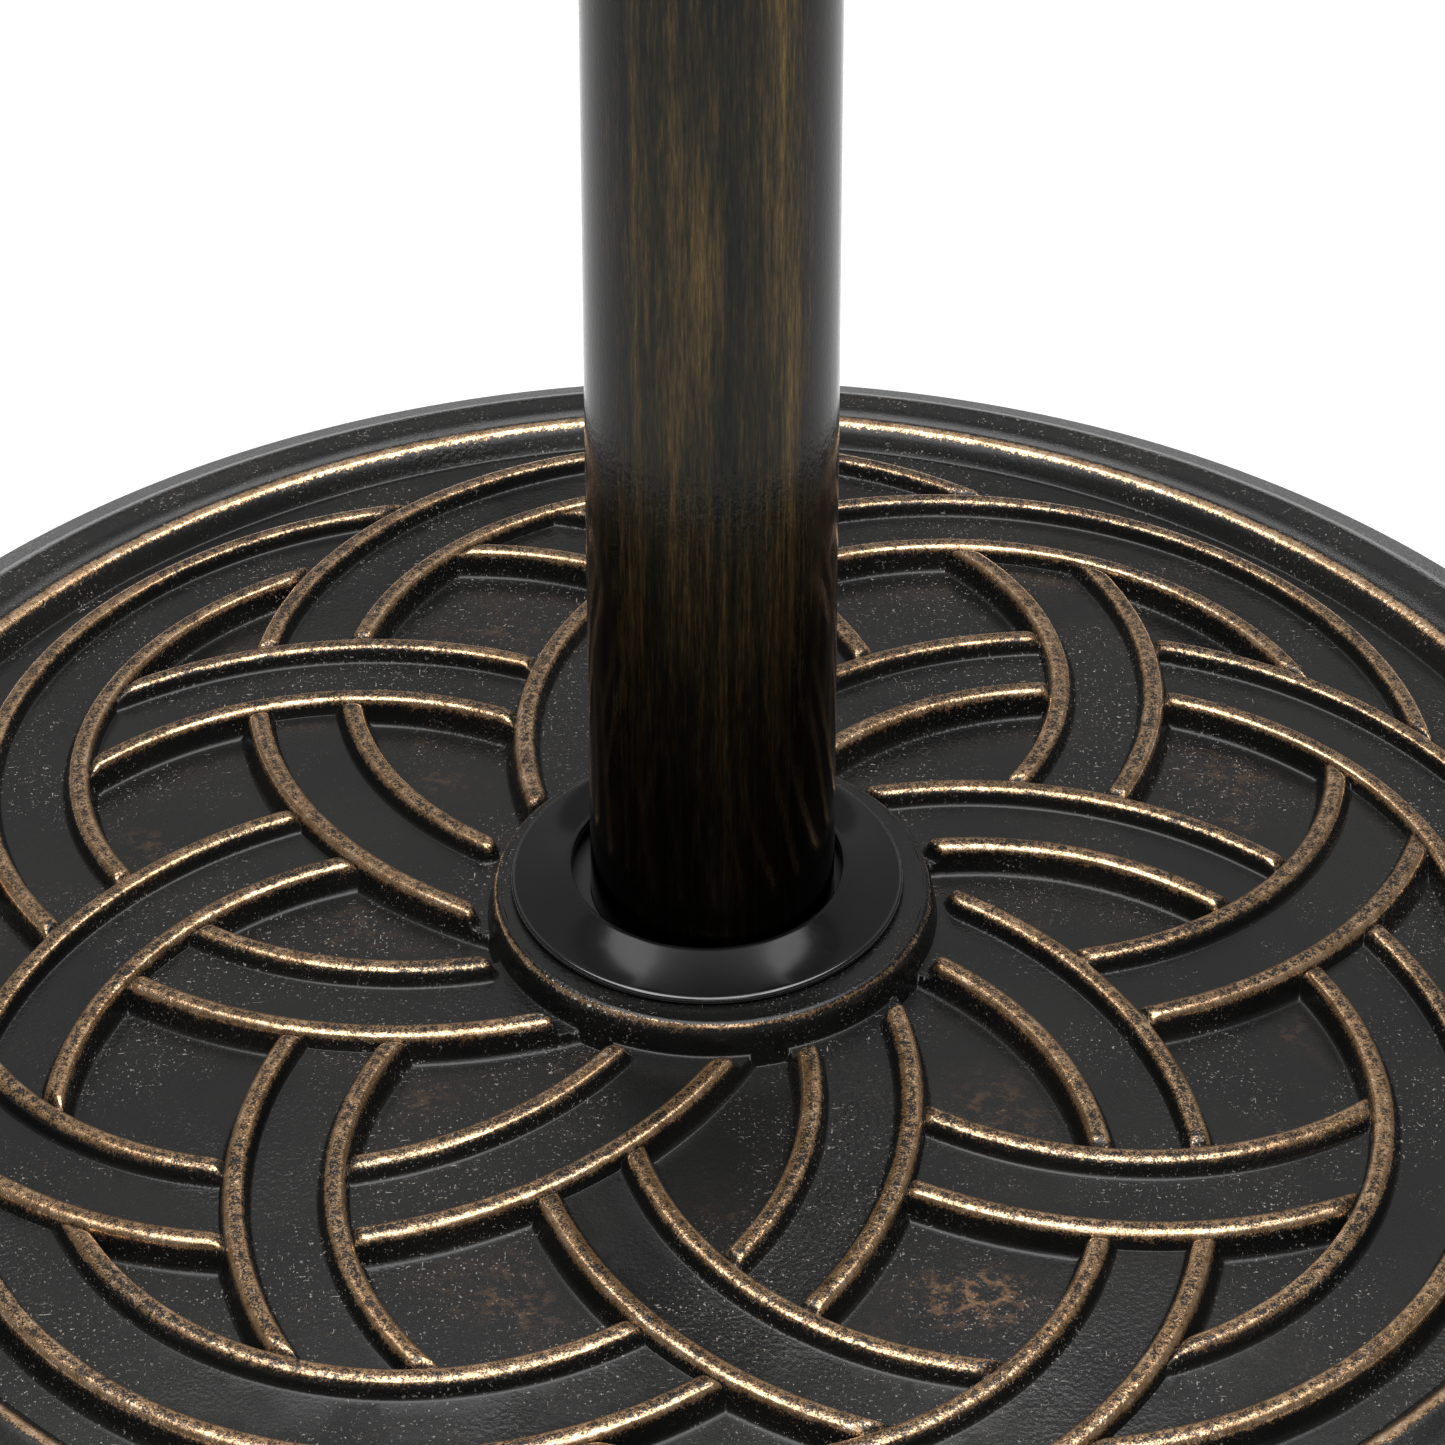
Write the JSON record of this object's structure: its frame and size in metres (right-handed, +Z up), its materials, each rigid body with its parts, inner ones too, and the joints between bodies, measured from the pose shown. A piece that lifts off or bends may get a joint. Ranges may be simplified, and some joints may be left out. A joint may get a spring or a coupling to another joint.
{
  "type": "parasol base",
  "caption": "Round weighted parasol base: domed disc with interlaced raised bands, bronze stem tube, loose flange cover, lift-out pole sleeve and side clamp screw.",
  "frame": {"origin": "on the floor, on the axis of the stem tube: the bottom centre of the bounding box", "axes": "+Z up along the stem tube, the way a parasol pole leaves its socket; +X towards the clamp knob"},
  "size_m": [0.45, 0.45, 0.356],
  "materials": {
    "bronze_casting": "cast composite, near-black bronze paint with rubbed copper highlights",
    "ballast": "poured cement ballast",
    "black_steel": "black coated sheet steel",
    "zinc_steel": "bright zinc plated",
    "bare_steel": "plain steel",
    "rubber": "black rubber",
    "black_nylon": "black nylon",
    "bronze_tube": "brushed dark bronze, semi-gloss lacquer",
    "gloss_black_plastic": "glossy black moulding",
    "satin_black_plastic": "satin black moulding"
  },
  "bodies": {
    "base": {"base_casting": "bronze_casting", "ballast_core": "ballast", "bottom_plate": "black_steel", "plate_screws": "zinc_steel", "rubber_feet": "rubber", "foot_screws": "zinc_steel", "hub_bushing": "black_nylon", "stem_tube": "bronze_tube", "tube_foot_plug": "bare_steel", "anchor_bolt": "zinc_steel", "flat_washer": "zinc_steel", "spring_washer": "bare_steel", "top_collar": "satin_black_plastic", "clamp_boss": "bronze_tube"},
    "flange_cover": {"flange_cover": "gloss_black_plastic"},
    "pole_sleeve": {"pole_sleeve": "satin_black_plastic"},
    "pressure_pad": {"pressure_pad": "black_nylon"},
    "clamp_knob": {"clamp_knob": "satin_black_plastic", "knob_stud": "zinc_steel", "knob_cap": "satin_black_plastic"}
  },
  "joints": [
    {"name": "cover_lift", "type": "slide", "parent": "base", "child": "flange_cover", "axis": [0, 0, 1], "range_m": [0, 0.225]},
    {"name": "sleeve_lift", "type": "slide", "parent": "base", "child": "pole_sleeve", "axis": [0, 0, 1], "range_m": [0, 0.1]},
    {"name": "clamp_travel", "type": "slide", "parent": "base", "child": "pressure_pad", "axis": [-1, 0, 0], "range_m": [0, 0.006]},
    {"name": "clamp_turn", "type": "hinge", "parent": "pressure_pad", "child": "clamp_knob", "pos_m": [0.05, 0, 0.315], "axis": [-1, 0, 0], "range_deg": [0, 1440]}
  ],
  "couplings": [
    {"joint": "clamp_travel", "follows": "clamp_turn", "m_per_rad": 0.0002387}
  ]
}
